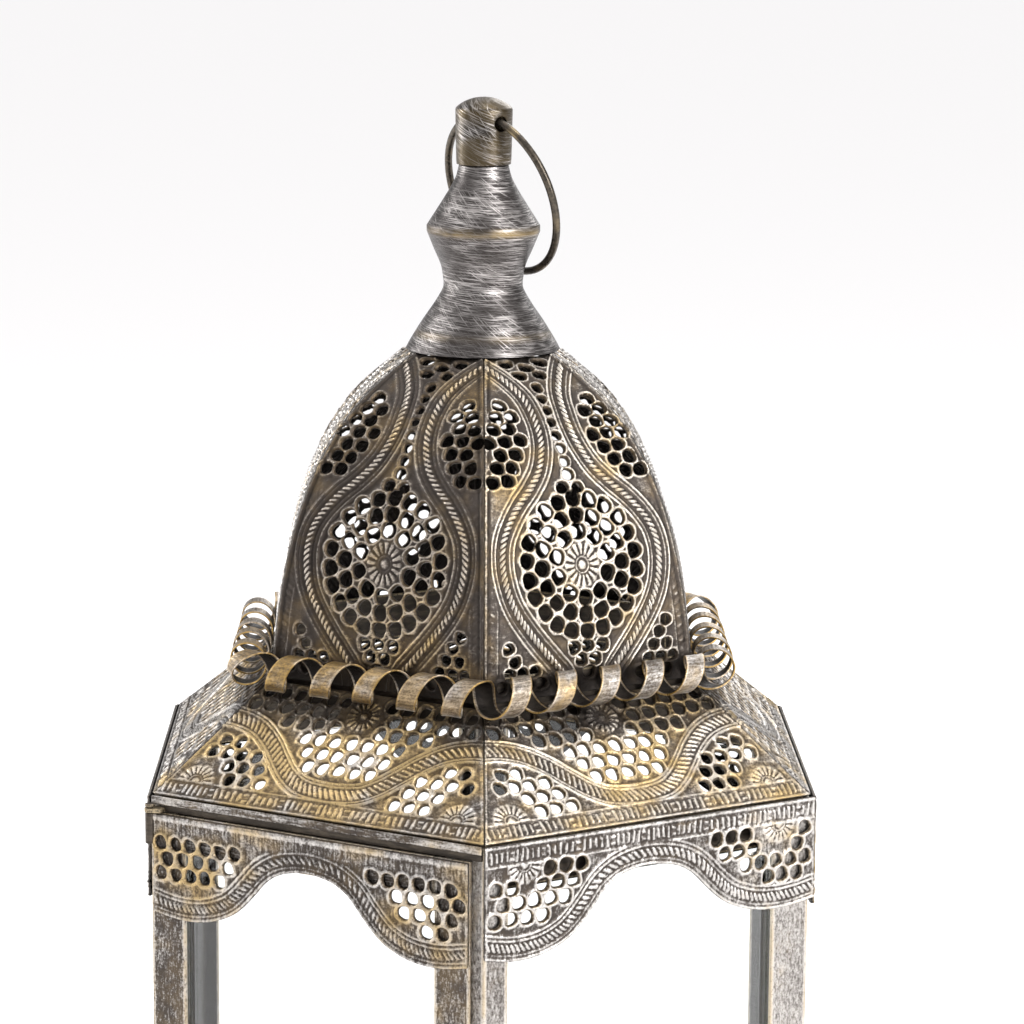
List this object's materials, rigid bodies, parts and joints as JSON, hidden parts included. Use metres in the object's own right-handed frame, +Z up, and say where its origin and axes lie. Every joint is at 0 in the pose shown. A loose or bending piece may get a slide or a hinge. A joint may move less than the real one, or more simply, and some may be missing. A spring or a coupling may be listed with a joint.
{
  "type": "candle lantern",
  "caption": "Hexagonal pierced-metal candle lantern with an onion dome, ribbon coil, scalloped valances, a hinged glass door and a carrying ring.",
  "frame": {"origin": "ground, centre of the base", "axes": "+Z up, the door faces -Y, hexagon corners on the X axis"},
  "size_m": [0.2548, 0.2206, 0.48],
  "materials": {
    "antique_silver": "dark pierced and embossed sheet, dry-brushed silver and brass on the raised pattern",
    "antique_brass": "dark pierced and embossed sheet, dry-brushed warm brass on the raised pattern",
    "brushed_silver": "dark grey metal with streaky dry-brushed silver and brass edges",
    "dark_metal": "dark gunmetal brown, worn lightly to silver at the edges",
    "dark_wire": "smooth dark bronze wire with brass rub marks",
    "clear_glass": "clear window glass with greenish edges"
  },
  "bodies": {
    "lantern": {"dome_panel_1": "antique_silver", "dome_panel_2": "antique_silver", "dome_panel_3": "antique_silver", "dome_panel_4": "antique_silver", "dome_panel_5": "antique_silver", "dome_panel_6": "antique_silver", "dome_collar": "dark_metal", "shoulder_panel_1": "antique_brass", "shoulder_panel_2": "antique_brass", "shoulder_panel_3": "antique_brass", "shoulder_panel_4": "antique_brass", "shoulder_panel_5": "antique_brass", "shoulder_panel_6": "antique_brass", "coil_garland": "antique_brass", "finial_skirt": "brushed_silver", "finial_body": "brushed_silver", "finial_neck": "brushed_silver", "corner_post_1": "brushed_silver", "corner_post_2": "brushed_silver", "corner_post_3": "brushed_silver", "corner_post_4": "brushed_silver", "corner_post_5": "brushed_silver", "corner_post_6": "brushed_silver", "header_rail": "dark_metal", "sill_rail": "dark_metal", "valance_1": "antique_silver", "glass_pane_1": "clear_glass", "valance_2": "antique_silver", "glass_pane_2": "clear_glass", "valance_3": "antique_silver", "glass_pane_3": "clear_glass", "valance_4": "antique_silver", "glass_pane_4": "clear_glass", "valance_5": "antique_silver", "glass_pane_5": "clear_glass", "hinge_ear_upper": "dark_metal", "hinge_pin_upper": "dark_metal", "hinge_ear_lower": "dark_metal", "hinge_pin_lower": "dark_metal", "hook_keeper": "dark_metal", "floor_plate": "dark_metal", "candle_cup": "dark_metal", "base_panel_1": "antique_brass", "base_panel_2": "antique_brass", "base_panel_3": "antique_brass", "base_panel_4": "antique_brass", "base_panel_5": "antique_brass", "base_panel_6": "antique_brass", "base_rim": "brushed_silver"},
    "ring": {"carry_ring": "dark_wire"},
    "door": {"door_stile_hinge": "brushed_silver", "door_stile_latch": "brushed_silver", "door_rail_top": "brushed_silver", "door_rail_foot": "brushed_silver", "door_glass": "clear_glass", "door_valance": "antique_silver", "door_hinge_leaf": "dark_metal", "hook_rivet": "brushed_silver"},
    "hook": {"door_hook": "dark_metal"}
  },
  "joints": [
    {"name": "door_hinge", "type": "hinge", "parent": "lantern", "child": "door", "pos_m": [-0.0544, -0.09825, 0.17], "axis": [0, 0, -1], "range_deg": [0, 110]},
    {"name": "door_hook_pivot", "type": "hinge", "parent": "door", "child": "hook", "pos_m": [0.0422, -0.0976, 0.152], "axis": [0, -1, 0], "range_deg": [0, 100]},
    {"name": "ring_swing", "type": "hinge", "parent": "lantern", "child": "ring", "pos_m": [0, 0, 0.4724], "axis": [0.9205, -0.3907, 0], "range_deg": [0, 325]}
  ]
}
